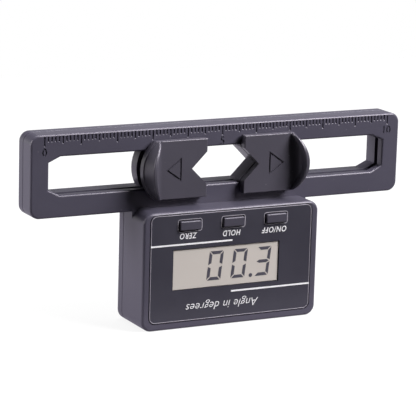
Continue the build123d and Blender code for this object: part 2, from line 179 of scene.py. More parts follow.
# %% [markdown]
# ## The printed plate and its ink
# The plate is a polycarbonate sheet, printed black from behind and rolled with a velvet grain, so it is a
# little darker and smoother than the moulding round it. The velvet is drawn coarser than it is, so that it
# shows. The words and lines are a white ink that stands a few hundredths of a millimetre proud. The key borders
# take the same recipe in grey, and that grey is a painted highlight of the bright edge round each key's opening.


# %% Printed polycarbonate and inks
velvet_size, velvet_depth = 0.2, 0.006
mark_size, ink_patch = 9, 0.5


def printed_polycarbonate():
    """Velvet-rolled black polycarbonate: a fine grain and faint handling marks."""
    material, tree, shader, place = start_material("black_polycarbonate_print", IOR=1.585, Specular_IOR_Level=0.34)
    velvet = add(tree, "ShaderNodeTexNoise", {"Vector": place, "Scale": 1 / (velvet_size * mm), "Detail": 2.0})
    marks = add(tree, "ShaderNodeTexNoise", {"Vector": place, "Scale": 1 / (mark_size * mm), "Detail": 4.0})
    colour = add(tree, "ShaderNodeMixRGB", {"Fac": marks.outputs["Fac"], "Color1": linear("#35333d"),
                                            "Color2": linear("#3d3b46")})
    gloss = add(tree, "ShaderNodeMapRange", {"Value": marks.outputs["Fac"], "To Min": 0.3, "To Max": 0.46})
    bump = add(tree, "ShaderNodeBump", {"Height": velvet.outputs["Fac"], "Strength": 0.2,
                                        "Distance": velvet_depth * mm})
    connect(tree, shader, {"Base Color": colour.outputs["Color"], "Roughness": gloss.outputs["Result"],
                           "Normal": bump.outputs["Normal"]})
    return material


def ink_and_painted_highlight(name, colour, worn):
    """Screen-printed ink: a slightly uneven film that shows the black under it where it is thin. In pale grey the
    same recipe is a painted highlight on the key borders and on the plate's bead.
    """
    material, tree, shader, place = start_material(name, IOR=1.5)
    film = add(tree, "ShaderNodeTexNoise", {"Vector": place, "Scale": 1 / (ink_patch * mm), "Detail": 3.0})
    thin = add(tree, "ShaderNodeMapRange", {"Value": film.outputs["Fac"], "From Min": 0.4, "From Max": 0.75,
                                            "To Min": 0.0, "To Max": 0.35})
    tone = add(tree, "ShaderNodeMixRGB", {"Fac": thin.outputs["Result"], "Color1": linear(colour),
                                          "Color2": linear(worn)})
    gloss = add(tree, "ShaderNodeMapRange", {"Value": film.outputs["Fac"], "To Min": 0.45, "To Max": 0.6})
    connect(tree, shader, {"Base Color": tone.outputs["Color"], "Roughness": gloss.outputs["Result"]})
    return material


plate_print = printed_polycarbonate()
white_ink = ink_and_painted_highlight("white_print_ink", "#f4f2f5", "#c9c6cd")
# The key borders' grey is a painted highlight of the bright edge round each key opening.
border_highlight_grey = ink_and_painted_highlight("grey_painted_highlight", "#9d98a2", "#716d77")
print("print finishes:", plate_print.name, white_ink.name, border_highlight_grey.name)

# %% [markdown]
# ## The reflective display
# A twisted nematic display is two sheets of glass with a polariser on each and a brushed aluminium reflector
# behind. Where no segment is driven it is a warm grey, and a driven segment turns almost black. The front
# polariser is matt, so it blurs the studio instead of mirroring it. A slow stain keeps the grey alive, and a fine
# vertical brushing comes from the reflector, drawn a little coarser than it is.


# %% Display materials
stain_size, brushing_size, brushing_stretch = 11, 0.35, 0.04
cell_gap_patch = 1.5


def display_film():
    """Warm grey reflective display behind a matt polariser."""
    material, tree, shader, place = start_material("reflective_display", IOR=1.52)
    stain = add(tree, "ShaderNodeTexNoise", {"Vector": place, "Scale": 1 / (stain_size * mm), "Detail": 2.0})
    spread = add(tree, "ShaderNodeMapping", {"Vector": place, "Scale": (1.0, 1.0, brushing_stretch)})
    brushing = add(tree, "ShaderNodeTexNoise",
                   {"Vector": spread.outputs["Vector"], "Scale": 1 / (brushing_size * mm)})
    colour = add(tree, "ShaderNodeMixRGB", {"Fac": stain.outputs["Fac"], "Color1": linear("#c2bab4"),
                                            "Color2": linear("#cbc3be")})
    fine = add(tree, "ShaderNodeMixRGB", {"Fac": brushing.outputs["Fac"], "Color1": colour.outputs["Color"],
                                          "Color2": linear("#c6beb9")})
    gloss = add(tree, "ShaderNodeMapRange", {"Value": brushing.outputs["Fac"], "To Min": 0.3, "To Max": 0.4})
    connect(tree, shader, {"Base Color": fine.outputs["Color"], "Roughness": gloss.outputs["Result"]})
    return material


def liquid_crystal():
    """A driven segment: dark grey with a trace of blue, slightly uneven like the cell gap behind it."""
    material, tree, shader, place = start_material("liquid_crystal_segments", IOR=1.52)
    gap = add(tree, "ShaderNodeTexNoise", {"Vector": place, "Scale": 1 / (cell_gap_patch * mm), "Detail": 1.0})
    colour = add(tree, "ShaderNodeMixRGB", {"Fac": gap.outputs["Fac"], "Color1": linear("#484650"),
                                            "Color2": linear("#53505b")})
    gloss = add(tree, "ShaderNodeMapRange", {"Value": gap.outputs["Fac"], "To Min": 0.32, "To Max": 0.4})
    connect(tree, shader, {"Base Color": colour.outputs["Color"], "Roughness": gloss.outputs["Result"]})
    return material


display_grey = display_film()
segment_black = liquid_crystal()
print("display finishes:", display_grey.name, segment_black.name)

# %% [markdown]
# ## Metals, board and chips
# The cell's can and the contacts are nickel-plated steel that rolling has left with fine lines along one way.
# The screws are blackened steel, and the springs drawn music wire. They share one recipe, with their own
# colour, roughness and direction of the lines, which are drawn coarser than they are. The board is green solder
# mask over copper tracks. The chips are moulded epoxy, the switches nylon and the display's connector layered
# silicone.


# %% Metals and inner parts
line_spacing, line_depth = 0.15, 0.004
track_grid, weave_size = 2.54, 0.4
cloud_size = 1.2


def drawn_metal(name, colour, shade, roughness, stretch):
    """A metal whose making left fine lines along one axis."""
    material, tree, shader, place = start_material(name, Metallic=1.0)
    turned = add(tree, "ShaderNodeMapping", {"Vector": place, "Scale": stretch})
    lines = add(tree, "ShaderNodeTexNoise", {"Vector": turned.outputs["Vector"], "Scale": 1 / (line_spacing * mm),
                                             "Detail": 3.0})
    tone = add(tree, "ShaderNodeMixRGB", {"Fac": lines.outputs["Fac"], "Color1": linear(colour),
                                          "Color2": linear(shade)})
    gloss = add(tree, "ShaderNodeMapRange", {"Value": lines.outputs["Fac"], "To Min": roughness - 0.06,
                                             "To Max": roughness + 0.08})
    bump = add(tree, "ShaderNodeBump", {"Height": lines.outputs["Fac"], "Strength": 0.15,
                                        "Distance": line_depth * mm})
    connect(tree, shader, {"Base Color": tone.outputs["Color"], "Roughness": gloss.outputs["Result"],
                           "Normal": bump.outputs["Normal"]})
    return material


def solder_mask():
    """Green solder mask, lighter where copper tracks run under it, two to each step of the grid."""
    material, tree, shader, place = start_material("green_solder_mask", IOR=1.5)
    turned = add(tree, "ShaderNodeMapping", {"Vector": place, "Rotation": (math.pi / 2, 0.0, 0.0)})
    tracks = add(tree, "ShaderNodeTexBrick",
                 {"Vector": turned.outputs["Vector"], "Scale": 1 / (track_grid * mm), "Color1": linear("#1f6a3c"),
                  "Color2": linear("#1a5c35"), "Mortar": linear("#2f8a50"), "Mortar Size": 0.05})
    weave = add(tree, "ShaderNodeTexNoise", {"Vector": place, "Scale": 1 / (weave_size * mm)})
    gloss = add(tree, "ShaderNodeMapRange", {"Value": weave.outputs["Fac"], "To Min": 0.3, "To Max": 0.45})
    connect(tree, shader, {"Base Color": tracks.outputs["Color"], "Roughness": gloss.outputs["Result"]})
    return material


def moulded_trim(name, dark, light, roughness):
    """A small moulded or cast piece: slight clouding in colour and gloss."""
    material, tree, shader, place = start_material(name, IOR=1.5)
    cloud = add(tree, "ShaderNodeTexNoise", {"Vector": place, "Scale": 1 / (cloud_size * mm), "Detail": 4.0})
    colour = add(tree, "ShaderNodeMixRGB", {"Fac": cloud.outputs["Fac"], "Color1": linear(dark),
                                            "Color2": linear(light)})
    gloss = add(tree, "ShaderNodeMapRange", {"Value": cloud.outputs["Fac"], "To Min": roughness - 0.05,
                                             "To Max": roughness + 0.08})
    connect(tree, shader, {"Base Color": colour.outputs["Color"], "Roughness": gloss.outputs["Result"]})
    return material


cell_nickel = drawn_metal("nickel_plated_can", "#c9c7c2", "#b5b2ac", 0.28, (1.0, 1.0, 0.05))
contact_nickel = drawn_metal("nickel_plated_strip", "#cfc8b8", "#b9b2a3", 0.3, (0.05, 1.0, 1.0))
black_steel = drawn_metal("blackened_screw_steel", "#4b4a4d", "#3a393c", 0.38, (1.0, 0.05, 1.0))
spring_wire = drawn_metal("drawn_spring_wire", "#a9a7a4", "#8f8d8b", 0.3, (0.05, 1.0, 1.0))
board_green = solder_mask()
chip_epoxy = moulded_trim("moulded_epoxy", "#1b1b1d", "#262628", 0.5)
switch_nylon = moulded_trim("moulded_nylon", "#222124", "#2e2d31", 0.42)
connector_rubber = moulded_trim("layered_silicone", "#d9a0a8", "#c98f98", 0.6)
print("metals and inner finishes:", len(bpy.data.materials), "materials so far")

# %% [markdown]
# ## Finishes onto the solids
# A solid whose shape is right keeps its mesh, and only its material slot changes. The table below says which
# finish each kind of solid takes.

# %% Dress the solids
finish_of = {
    "front_shell": housing_abs, "back_shell": housing_abs, "battery_door": housing_abs,
    "face_plate": plate_print, "display_glass": display_grey, "display_connector": connector_rubber,
    "circuit_board": board_green, "controller_chip": chip_epoxy, "tilt_sensor": chip_epoxy,
    "coin_cell": cell_nickel, "negative_contact": contact_nickel, "positive_contact": contact_nickel,
    "shell_screws": black_steel, "board_screws": black_steel,
}
for key in ("zero", "hold", "on_off"):
    finish_of[key + "_button"] = key_abs
    finish_of[key + "_switch"] = switch_nylon
for side in ("left", "right"):
    finish_of[side + "_jaw_plate"] = jaw_abs
    finish_of[side + "_jaw_slider"] = jaw_abs
    finish_of[side + "_jaw_spring"] = spring_wire
    finish_of[side + "_jaw_screws"] = black_steel
for node, material in finish_of.items():
    for material_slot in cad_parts[node].material_slots:
        material_slot.material = material
print("solids dressed:", len(finish_of), "of", len(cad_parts))

# %% [markdown]
# ## From a bmesh to a piece
# Each new piece is shaped in a bmesh with Blender's own operators, becomes one object at the origin, rides on
# its body and names the slot that its finish belongs to. Faces that meet at more than 30 degrees stay sharp.


# %% Finish a piece
sharp_angle = 30


def finish_piece(bm, name, material, body):
    """Turns a bmesh, already in its place in metres, into a piece of the model."""
    bmesh.ops.recalc_face_normals(bm, faces=bm.faces)
    for face in bm.faces:
        face.smooth = True
    for edge in bm.edges:
        edge.smooth = edge.is_manifold and edge.calc_face_angle(0.0) < math.radians(sharp_angle)
    mesh = bpy.data.meshes.new(name)
    bm.to_mesh(mesh)
    bm.free()
    mesh.materials.append(material)
    piece = bpy.data.objects.new(name, mesh)
    bpy.context.scene.collection.objects.link(piece)
    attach(piece, body)
    return piece


print("edges over", sharp_angle, "degrees stay sharp")

# %% [markdown]
# ## Blocks and lettering
# Grooves, lines and the display's sheet are blocks between two corners. Lettering starts as a text curve, which
# already has good letter shapes, and becomes a mesh. That mesh is measured and scaled to the height that its
# capitals should have, so the font's own size doesn't matter.


# %% Blocks and lettering
stand_up = Matrix.Rotation(math.pi / 2, 4, "X")
weld = 0.0005
tolerance = 0.01


def put_block(bm, x, y, z):
    """Adds a block between two corners, given as (low, high) pairs in mm, and returns its vertices."""
    size = [(high - low) * mm for low, high in (x, y, z)]
    centre = [(high + low) / 2 * mm for low, high in (x, y, z)]
    place = Matrix.Translation(centre) @ Matrix.Diagonal((*size, 1.0))
    return bmesh.ops.create_cube(bm, size=1.0, matrix=place)["verts"]


def put_words(bm, text, cap_height, centre_x, centre_z, front, thickness, turned=False, lean=0.0, spacing=1.0,
              width=1.0, stroke=0.0):
    """Adds flat lettering as a mesh: its capitals' height, middle and front face are given in mm."""
    curve = bpy.data.curves.new(text, "FONT")
    curve.body = text
    curve.align_x, curve.align_y = "CENTER", "CENTER"
    curve.space_character = spacing
    curve.shear = lean
    # An extrusion of a half on each side makes the letters one unit thick, which is then scaled.
    curve.extrude = 0.5
    curve.resolution_u = 4
    curve.offset = stroke
    writer = bpy.data.objects.new(text, curve)
    bpy.context.scene.collection.objects.link(writer)
    mesh = bpy.data.meshes.new_from_object(writer.evaluated_get(bpy.context.evaluated_depsgraph_get()))
    bpy.data.objects.remove(writer)
    lows = [min(v.co[axis] for v in mesh.vertices) for axis in range(3)]
    highs = [max(v.co[axis] for v in mesh.vertices) for axis in range(3)]
    to_middle = Matrix.Translation([-(low + high) / 2 for low, high in zip(lows, highs)])
    grow = cap_height * mm / (highs[1] - lows[1])
    scale = Matrix.Diagonal((grow * width, grow, thickness * mm, 1.0))
    turn = Matrix.Rotation(math.pi if turned else 0.0, 4, "Y")
    place = Matrix.Translation((centre_x * mm, (front + thickness / 2) * mm, centre_z * mm))
    mesh.transform(place @ turn @ stand_up @ scale @ to_middle)
    old = set(bm.verts)
    bm.from_mesh(mesh)
    bmesh.ops.remove_doubles(bm, verts=[v for v in bm.verts if v not in old], dist=2 * weld * mm)
    bpy.data.meshes.remove(mesh)


print("vertices closer than", weld, "mm become one")

# %% [markdown]
# ## The moulded ruler
# The bar's front carries a ruler from 0 to 10 cm: grooves 1 mm apart that hang from the top edge, longer at
# every fifth and tenth, with numerals at 0, 5 and 10. They are part of the mould, so paint on the surface would
# look wrong where the light grazes it. Each groove starts as a block that is narrowed towards its floor. Its
# lower end slopes, as the mould's cutter left it, and that slope is what catches the light as a pale dot.

# %% Shape the grooves and numerals
half_ruler = 50
groove_width, groove_depth = 0.4, 0.22
groove_taper, end_slope = 0.45, 1.15
groove_inset = 0.42
groove_top = bar_top - groove_inset
groove_lengths = {10: 2.6, 5: 2.0, 1: 1.5}
numeral_height, numeral_gap = 2.05, 0.35
numeral_middle = groove_top - groove_lengths[10] - numeral_gap - numeral_height / 2

cutter = bmesh.new()
for step in range(-half_ruler, half_ruler + 1):
    length = groove_lengths[10 if step % 10 == 0 else 5 if step % 5 == 0 else 1]
    low = groove_top - length
    corners = put_block(cutter, (step - groove_width / 2, step + groove_width / 2),
                        (bar_front - groove_depth, bar_front + groove_depth), (low, groove_top))
    for vertex in corners:
        inward = vertex.co.y - bar_front * mm
        if vertex.co.z < (low + tolerance) * mm:
            vertex.co.z += inward * end_slope
        vertex.co.x += (step * mm - vertex.co.x) * inward / (groove_depth * mm) * groove_taper
for numeral, x in (("0", -half_ruler), ("5", 0), ("10", half_ruler)):
    put_words(cutter, numeral, numeral_height, x, numeral_middle, bar_front - groove_depth, 2 * groove_depth,
              stroke=0.012)
bmesh.ops.recalc_face_normals(cutter, faces=cutter.faces)
print("ruler cutter:", len(cutter.faces), "faces")

# %% [markdown]
# ## Cutting with a boolean
# A solid's mesh is loose triangles, so a copy of it is merged first. A boolean modifier with the exact solver
# then takes all grooves and numerals out at once, and the result is read back into a bmesh. A tool whose own
# parts cross each other has to say so. The flat faces keep their flat shading through weighted normals.


# %% Cut the ruler into a copy of the front shell
def merged_copy(node):
    """A copy of a solid as a bmesh in its place, with its loose triangles merged."""
    bm = bmesh.new()
    bm.from_mesh(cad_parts[node].data)
    bm.transform(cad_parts[node].matrix_world)
    bmesh.ops.remove_doubles(bm, verts=bm.verts, dist=weld * mm)
    return bm


def subtract(blank, tool, tool_crosses_itself=False):
    """Takes one bmesh out of another, frees both and returns what is left."""
    things = []
    for name, source in (("blank", blank), ("tool", tool)):
        thing = bpy.data.objects.new(name, bpy.data.meshes.new(name))
        source.to_mesh(thing.data)
        source.free()
        bpy.context.scene.collection.objects.link(thing)
        things.append(thing)
    cut = things[0].modifiers.new("cut", "BOOLEAN")
    cut.operation, cut.solver, cut.object, cut.use_self = "DIFFERENCE", "EXACT", things[1], tool_crosses_itself
    result = bmesh.new()
    result.from_object(things[0], bpy.context.evaluated_depsgraph_get())
    for thing in things:
        mesh = thing.data
        bpy.data.objects.remove(thing)
        bpy.data.meshes.remove(mesh)
    for face in result.faces:
        face.material_index = 0
    return result


engraved = subtract(merged_copy("front_shell"), cutter)
print("engraved shell:", len(engraved.faces), "faces,",
      sum(not edge.is_manifold for edge in engraved.edges), "open edges")
engraved_shell = finish_piece(engraved, "engraved_shell", housing_abs, "housing")
smoothing = engraved_shell.modifiers.new("flat_faces_stay_flat", "WEIGHTED_NORMAL")
smoothing.keep_sharp = True
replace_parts(engraved_shell, "front_shell")

# %% [markdown]
# ## The display's upper sheet
# The display's upper glass sheet is smaller than the lower one and stands in the plate's window, so the reading
# lies only 0.3 mm behind the print. Its place is the solid display's box without the border under the plate.

# %% Stand the upper sheet in the window
sheet_thickness, sheet_bevel = 0.6, 0.06
hidden_x, hidden_z = 2.25, 2.05
sheet_front = glass_front - sheet_thickness
sheet = bmesh.new()
put_block(sheet, (glass_low.x / mm + hidden_x, glass_high.x / mm - hidden_x), (sheet_front, glass_front),
          (glass_low.z / mm + hidden_z, glass_high.z / mm - hidden_z))
bmesh.ops.bevel(sheet, geom=list(sheet.edges), offset=sheet_bevel * mm, offset_type="OFFSET", affect="EDGES",
                segments=1, profile=0.5, material=-1)
print("upper sheet:", len(sheet.faces), "faces, front at y =", round(sheet_front, 3))
finish_piece(sheet, "upper_display_sheet", display_grey, "housing")

# %% [markdown]
# ## The bars of a figure
# A reading is made of seven bars with slanting ends and narrow gaps between them. All seven come from two
# stacked rectangles: insetting each gives the mitred bars round both, the two bars that meet in the middle are
# dissolved into one, and a second, fine inset opens the gaps. Faces that a figure doesn't use are deleted.

# %% Shape one figure
figure_width, figure_height = 4.4, 8.05
bar_width, segment_gap = 1.14, 0.3


def bar_name(centre):
    """Which of a figure's seven bars a face is, from its centre in mm, measured from the figure's middle."""
    if abs(centre.z) < bar_width and abs(centre.x) < figure_width / 4:
        return "middle"
    if abs(centre.x) < figure_width / 4:
        return "top" if centre.z > 0 else "bottom"
    return ("upper " if centre.z > 0 else "lower ") + ("right" if centre.x > 0 else "left")


def make_figure(unused):
    """The bars of one figure round its own middle, in mm, flat in the X-Z plane."""
    bm = bmesh.new()
    place = stand_up @ Matrix.Diagonal((figure_width, figure_height, 1.0, 1.0))
    bmesh.ops.create_grid(bm, x_segments=1, y_segments=2, size=0.5, matrix=place)
    holes = list(bm.faces)
    bmesh.ops.inset_individual(bm, faces=holes, thickness=bar_width, use_even_offset=True)
    bmesh.ops.delete(bm, geom=holes, context="FACES_ONLY")
    for vertex in bm.verts:
        if abs(abs(vertex.co.z) - bar_width) < tolerance:
            vertex.co.z /= 2
    shared = [e for e in bm.edges if len(e.link_faces) == 2 and all(abs(v.co.z) < tolerance for v in e.verts)]
    bmesh.ops.dissolve_edges(bm, edges=shared)
    spare = [face for face in bm.faces if bar_name(face.calc_center_median()) in unused]
    bmesh.ops.delete(bm, geom=spare, context="FACES")
    rims = bmesh.ops.inset_individual(bm, faces=list(bm.faces), thickness=segment_gap / 2, use_even_offset=True)
    bmesh.ops.delete(bm, geom=rims["faces"], context="FACES")
    return bm


whole_figure = make_figure(unused=())
print("a figure with all its bars has", len(whole_figure.faces), "faces")
whole_figure.free()

# %% [markdown]
# ## The reading
# Each figure is made round its own middle, leaned by a shear and poured into its place in the display. A round
# point stands before the last one. One extrusion then gives the whole film its thickness.

# %% Set the reading
to_metres = Matrix.Scale(mm, 4)
figure_lean = math.tan(math.radians(6.5))
figure_bottom = 12.02
segment_film, film_lift = 0.03, 0.005
unused_bars = {"0": {"middle"}, "3": {"upper left", "lower left"}}
reading = (("0", -7.3), ("0", -0.25), ("3", 6.72))
point_x, point_z, point_radius = 5.85, 12.52, 0.52


def pour(source, target, matrix):
    """Moves one bmesh into another through a matrix."""
    carrier = bpy.data.meshes.new("carrier")
    source.transform(matrix)
    source.to_mesh(carrier)
    source.free()
    target.from_mesh(carrier)
    bpy.data.meshes.remove(carrier)


def raise_faces(bm, height):
    """Extrudes a flat shape towards -Y, which is where the gauge's front faces."""
    front = bmesh.ops.extrude_face_region(bm, geom=list(bm.faces))["geom"]
    bmesh.ops.translate(bm, vec=(0.0, -height, 0.0),
                        verts=[part for part in front if isinstance(part, bmesh.types.BMVert)])


segments = bmesh.new()
lean = Matrix(((1, 0, figure_lean, 0), (0, 1, 0, 0), (0, 0, 1, 0), (0, 0, 0, 1)))
film_back = sheet_front - film_lift
for figure, left in reading:
    centre = Vector((left + (figure_width + figure_height * figure_lean) / 2, film_back,
                     figure_bottom + figure_height / 2))
    pour(make_figure(unused_bars[figure]), segments, to_metres @ Matrix.Translation(centre) @ lean)
place = Matrix.Translation(Vector((point_x, film_back, point_z)) * mm) @ stand_up
bmesh.ops.create_circle(segments, cap_ends=True, segments=24, radius=point_radius * mm, matrix=place)
print("display:", len(segments.faces), "bars and points")
raise_faces(segments, segment_film * mm)
finish_piece(segments, "display_segments", segment_black, "housing")

# %% [markdown]
# ## White print
# Two thin lines frame the window from opposite corners, and each key has its word under it. The gauge is read
# hanging the other way up, so the words are upside down here. They are generic words for what the keys do and
# what the display shows. Lines and letters stand 0.04 mm proud, as thick ink does.

# %% Print lines and words
ink_film = 0.04
ink_front = plate_front - ink_film
line_width = 0.44
upper_line_z, lower_line_z = 22.49, 8.85
upper_line_x = (plate_low.x / mm, 0.06)
lower_line_x = (0.07, plate_high.x / mm)
key_words = (("ZERO", -12.75, 24.65, 0.8), ("HOLD", -0.2, 24.45, 0.8), ("ON/OFF", 12.3, 24.35, 0.84))
key_word_height, sentence_height = 1.55, 2.75
sentence_x, sentence_z = -2.4, 5.75

lines = bmesh.new()
for x, z in ((upper_line_x, upper_line_z), (lower_line_x, lower_line_z)):
    put_block(lines, x, (ink_front, plate_front), (z - line_width / 2, z + line_width / 2))
finish_piece(lines, "printed_lines", white_ink, "housing")

words = bmesh.new()
for text, x, z, width in key_words:
    put_words(words, text, key_word_height, x, z, ink_front, ink_film, turned=True, lean=0.2, spacing=1.16,
              width=width, stroke=0.014)
put_words(words, "Angle in degrees", sentence_height, sentence_x, sentence_z, ink_front, ink_film, turned=True,
          lean=0.28, spacing=1.02, stroke=-0.01)
print("words:", len(words.faces), "faces")
finish_piece(words, "printed_words", white_ink, "housing")

# %% [markdown]
# ## Borders round the keys
# Each key looks out through an opening with a thin grey border, and that grey is a painted highlight of the
# opening's bright edge. A border starts as one square face whose corners are bevelled round. An inset turns it
# into a frame, its middle is deleted, and an extrusion gives it thickness.


# %% Frames with round corners
key_pitch, key_middle, key_z = 12.55, 0.2, 27.45
opening_width, opening_height = 6.7, 3.0
border_width, border_corner = 0.2, 0.76


def make_frame(width, height, radius, rim, thickness):
    """A flat frame round its own middle, in mm, its front towards -Y and its outer corners round."""
    bm = bmesh.new()
    place = stand_up @ Matrix.Diagonal((width, height, 1.0, 1.0))
    bmesh.ops.create_grid(bm, x_segments=1, y_segments=1, size=0.5, matrix=place)
    bmesh.ops.bevel(bm, geom=list(bm.verts), offset=radius, offset_type="OFFSET", affect="VERTICES",
                    segments=8, profile=0.5, material=-1)
    middle = max(bm.faces, key=lambda face: face.calc_area())
    bmesh.ops.inset_region(bm, faces=[middle], thickness=rim, use_boundary=True, use_even_offset=True)
    bmesh.ops.delete(bm, geom=[middle], context="FACES_ONLY")
    raise_faces(bm, thickness)
    return bm


borders = bmesh.new()
for step in (-1, 0, 1):
    border = make_frame(opening_width + 2 * border_width, opening_height + 2 * border_width, border_corner,
                        border_width, ink_film)
    border_place = Matrix.Translation((key_middle + step * key_pitch, plate_front, key_z))
    pour(border, borders, to_metres @ border_place)
print("key borders:", len(borders.faces), "faces")
# The borders are painted grey as a highlight of each opening's bright edge.
finish_piece(borders, "key_borders", border_highlight_grey, "housing")

# %% [markdown]
# ## The bead round the plate
# The plate's cut edge shows as a fine bead with a bright line along it. It is the same kind of frame, sunk a
# little into the plate, with its edges rounded by a bevel modifier. Its pale grey is a painted highlight of that
# line, uneven in tone, so it shares the ink's recipe.

# %% Run the bead round the plate
# The bead's pale grey is a painted highlight along the plate's edge.
painted_edge_highlight = ink_and_painted_highlight("polycarbonate_painted_highlight", "#a39da9", "#56515c")
bead_width, bead_height, bead_root, bead_round = 0.18, 0.035, 0.1, 0.04
plate_corner = 1.6
plate_size, plate_middle = (plate_high - plate_low) / mm, (plate_high + plate_low) / 2 / mm
bead = bmesh.new()
pour(make_frame(plate_size.x, plate_size.z, plate_corner, bead_width, bead_height + bead_root), bead,
     to_metres @ Matrix.Translation((plate_middle.x, plate_front + bead_root, plate_middle.z)))
bead_piece = finish_piece(bead, "plate_bead", painted_edge_highlight, "housing")
round_over = bead_piece.modifiers.new("round_over", "BEVEL")
round_over.width, round_over.segments, round_over.limit_method = bead_round * mm, 3, "ANGLE"
print("bead stands", bead_height, "mm proud of the plate")

# %% [markdown]
# ## Where the screws are
# The shells, the board and the jaw plates are held by small self-tapping screws. Each plain solid screw says
# where its fine twin goes: its box gives the axis, the head and the tip. A node holds several screws, so its
# mesh is followed from vertex to vertex to tell them apart.


# %% Tell the screws of a node apart
def solid_boxes(node):
    """The box of each separate solid in a node, as (low, high) corners in mm."""
    bm = merged_copy(node)
    boxes, waiting = [], set(bm.verts)
    while waiting:
        group, border = [], [waiting.pop()]
        while border:
            vertex = border.pop()
            group.append(vertex.co / mm)
            near = {edge.other_vert(vertex) for edge in vertex.link_edges} & waiting
            waiting -= near
            border.extend(near)
        boxes.append([Vector(pick(co[axis] for co in group) for axis in range(3)) for pick in (min, max)])
    bm.free()
    return sorted(boxes, key=lambda box: tuple(box[0]))


print("the shells are held by", len(solid_boxes("shell_screws")), "screws")

# %% [markdown]
# ## One screw
# The screw has a rolled-over pan head and a cross recess. Its profile is a few points spun round the axis. The
# thread is a small triangle that is spun and pushed forward at the same time. Two crossed blocks will be taken
# out of the head for the recess.

# %% Turn a screw
thread_pitch, thread_steps = 0.6, 14
thread_half_width, thread_root = 0.16, 0.05
thread_start, thread_runout = 0.3, 1.2
core_share, tip_length = 0.74, 0.7
head_flat, head_slope_in, head_slope_down, head_rim = 0.45, 0.12, 0.16, 0.42


def spin_round(bm, geom, turns=1.0, steps=28, advance=0.0):
    """Spins geometry round the Y axis, and along it as well when it advances."""
    bmesh.ops.spin(bm, geom=geom, cent=(0, 0, 0), axis=(0, 1, 0), dvec=(0, advance / steps, 0),
                   angle=2 * math.pi * turns, steps=steps, use_merge=advance == 0.0)


def make_screw(head_radius, head_height, shank_radius, length):
    """A screw in mm, its axis along Y and the top of its head at y = 0, still without its recess."""
    bm = bmesh.new()
    core = shank_radius * core_share
    profile = [(0, 0), (head_radius - head_flat, 0), (head_radius - head_slope_in, -head_slope_down),
               (head_radius, -head_rim), (head_radius, -head_height), (core, -head_height),
               (core, -length + tip_length), (0, -length)]
    points = [bm.verts.new((r, y, 0.0)) for r, y in profile]
    edges = [bm.edges.new(pair) for pair in zip(points, points[1:])]
    spin_round(bm, points + edges)
    bmesh.ops.remove_doubles(bm, verts=bm.verts, dist=weld)
    start, turns = -head_height - thread_start, (length - head_height - thread_runout) / thread_pitch
    root = core - thread_root
    corners = [bm.verts.new((r, start + y, 0.0)) for r, y in
               ((root, -thread_half_width), (shank_radius, 0.0), (root, thread_half_width))]
    ridge = bm.faces.new(corners)
    spin_round(bm, corners + list(ridge.edges) + [ridge], turns, int(turns * thread_steps), -turns * thread_pitch)
    bmesh.ops.recalc_face_normals(bm, faces=bm.faces)
    return bm


def make_cross(reach, width, depth):
    """Two crossed blocks in mm, their middle at y = 0."""
    bm = bmesh.new()
    for x, z in ((reach, width), (width, reach)):
        bmesh.ops.create_cube(bm, size=1.0, matrix=Matrix.Diagonal((x, 2 * depth, z, 1.0)))
    return bm


sample = make_screw(head_radius=1.6, head_height=1.1, shank_radius=0.8, length=5.3)
print("a screw has", len(sample.faces), "faces before its recess")
sample.free()

# %% [markdown]
# ## All screws
# Each node's screws become one piece that takes the node's place. A recess is turned by an angle that comes from
# the screw's own place, because no two screws stop at the same angle.

# %% Put the screws in
cross_reach, cross_width, cross_depth = 1.15, 0.24, 0.55
screw_kinds = (("shell_screws", "housing", 1.1, 0.8), ("board_screws", "housing", 0.9, 0.75),
               ("left_jaw_screws", "left_jaw", 0.9, 0.75), ("right_jaw_screws", "right_jaw", 0.9, 0.75))
for node, body, head_height, shank_radius in screw_kinds:
    fine = bmesh.new()
    for low, high in solid_boxes(node):
        head_radius = (high.x - low.x) / 2
        blank = make_screw(head_radius, head_height, shank_radius, high.y - low.y)
        cross = make_cross(head_radius * cross_reach, head_radius * cross_width, cross_depth)
        screw = subtract(blank, cross, tool_crosses_itself=True)
        head_middle = Vector(((low.x + high.x) / 2, high.y, (low.z + high.z) / 2))
        turn = Matrix.Rotation(low.x + low.z, 4, "Y")
        pour(screw, fine, to_metres @ Matrix.Translation(head_middle) @ turn)
    print(node, "turned:", len(fine.faces), "faces")
    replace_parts(finish_piece(fine, "threaded_" + node, black_steel, body), node)

# %% [markdown]
# ## The camera of the photograph
# The camera was found by fitting the ruler's marks and the housing's edges at once: it stands almost 0.6 m
# off, to the left and above, with a long lens. Its three axes are worked out from yaw, pitch and roll.

# %% Camera
yaw, pitch, roll = math.radians(27.238), math.radians(12.527), math.radians(1.618)
camera_place = Vector((-261.4, -500.83, 154.92)) * mm
focal_pixels, frame_pixels, sensor = 2209.75, 416, 36.0
ahead = Vector((math.sin(yaw) * math.cos(pitch), math.cos(yaw) * math.cos(pitch), -math.sin(pitch)))
level = Vector((math.cos(yaw), -math.sin(yaw), 0.0))
upward = level.cross(ahead)
right_axis = math.cos(roll) * level + math.sin(roll) * upward
up_axis = math.cos(roll) * upward - math.sin(roll) * level
camera_data = bpy.data.cameras.new("photo_camera")
camera_data.sensor_width = sensor
camera_data.lens = focal_pixels / frame_pixels * sensor
camera_data.clip_start, camera_data.clip_end = 0.01, 20.0
camera = bpy.data.objects.new("photo_camera", camera_data)
axes = Matrix((right_axis, up_axis, -ahead)).transposed().to_4x4()
camera.matrix_world = Matrix.Translation(camera_place) @ axes
bpy.context.scene.collection.objects.link(camera)
bpy.context.scene.camera = camera
distance = (camera_place - (cad_low + cad_high) / 2).length
print("lens", round(camera_data.lens, 1), "mm,", round(distance, 3), "m away")

